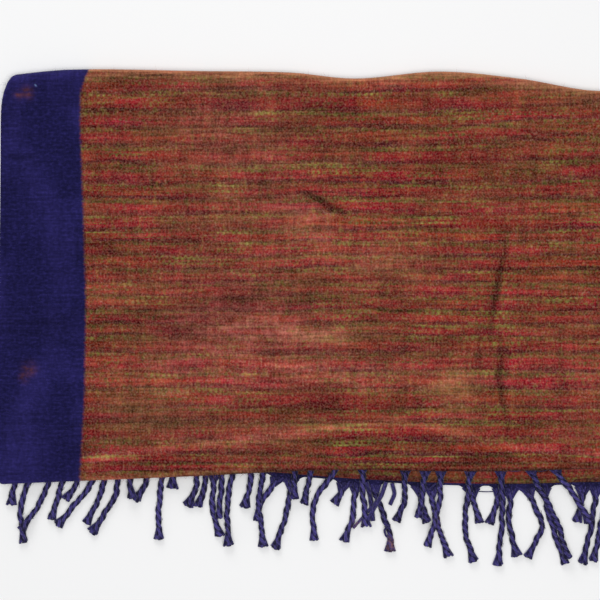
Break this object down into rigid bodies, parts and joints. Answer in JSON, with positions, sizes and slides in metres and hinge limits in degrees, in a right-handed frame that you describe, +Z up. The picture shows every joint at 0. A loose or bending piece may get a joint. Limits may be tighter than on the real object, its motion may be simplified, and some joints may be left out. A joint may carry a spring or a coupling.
{
  "type": "folded wool blanket with fringe",
  "caption": "Thin wool throw blanket folded into four layers, with a dark border at both selvages and twisted fringe on both ends.",
  "frame": {"origin": "middle of the folded blanket's underside, on the surface that it lies on", "axes": "+X along the blanket's width, from the left selvage to the right; +Y from the fringed front towards the thick back fold; +Z up"},
  "size_m": [1.3, 0.5005, 0.0146],
  "materials": {
    "wool_cloth": "brushed woven wool, striped in rust red, olive and brown, navy border at the selvages",
    "navy_yarn": "twisted navy wool yarn"
  },
  "bodies": {
    "root": {"cloth": "wool_cloth", "lower_fringe": "navy_yarn", "upper_fringe": "navy_yarn"}
  },
  "joints": []
}
